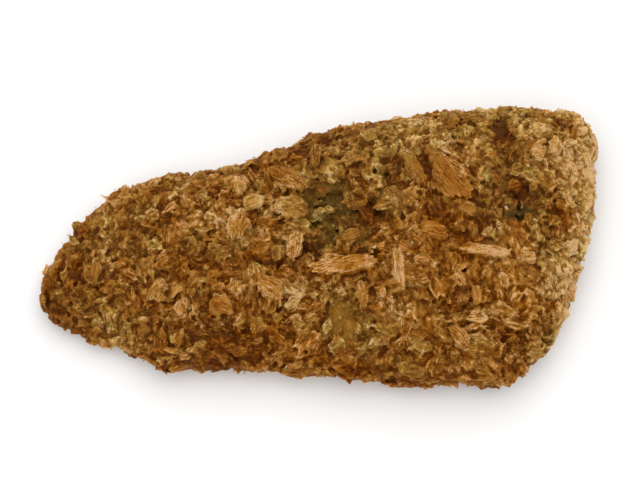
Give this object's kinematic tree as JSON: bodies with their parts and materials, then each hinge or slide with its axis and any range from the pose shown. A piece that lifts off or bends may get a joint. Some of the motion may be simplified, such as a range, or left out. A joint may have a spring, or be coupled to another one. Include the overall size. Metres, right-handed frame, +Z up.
{
  "type": "fried fish fillet",
  "caption": "Crumb-coated fried fish fillet lying on its flat side, with a thin round tail end, a thick square-cut end and coarse overlapping flakes of crumb.",
  "frame": {"origin": "middle of the fillet's box, at the level of the flat underside", "axes": "+X along the fillet, from the thin tail to the thick cut end; +Z up, out of the shown side; +Y across, towards the straighter long edge's high end"},
  "size_m": [0.14, 0.0722, 0.0197],
  "materials": {
    "crust": "golden brown fried crumb, slightly oily, darker in the gaps between flakes"
  },
  "bodies": {
    "root": {"breaded_fillet": "crust"}
  },
  "joints": []
}
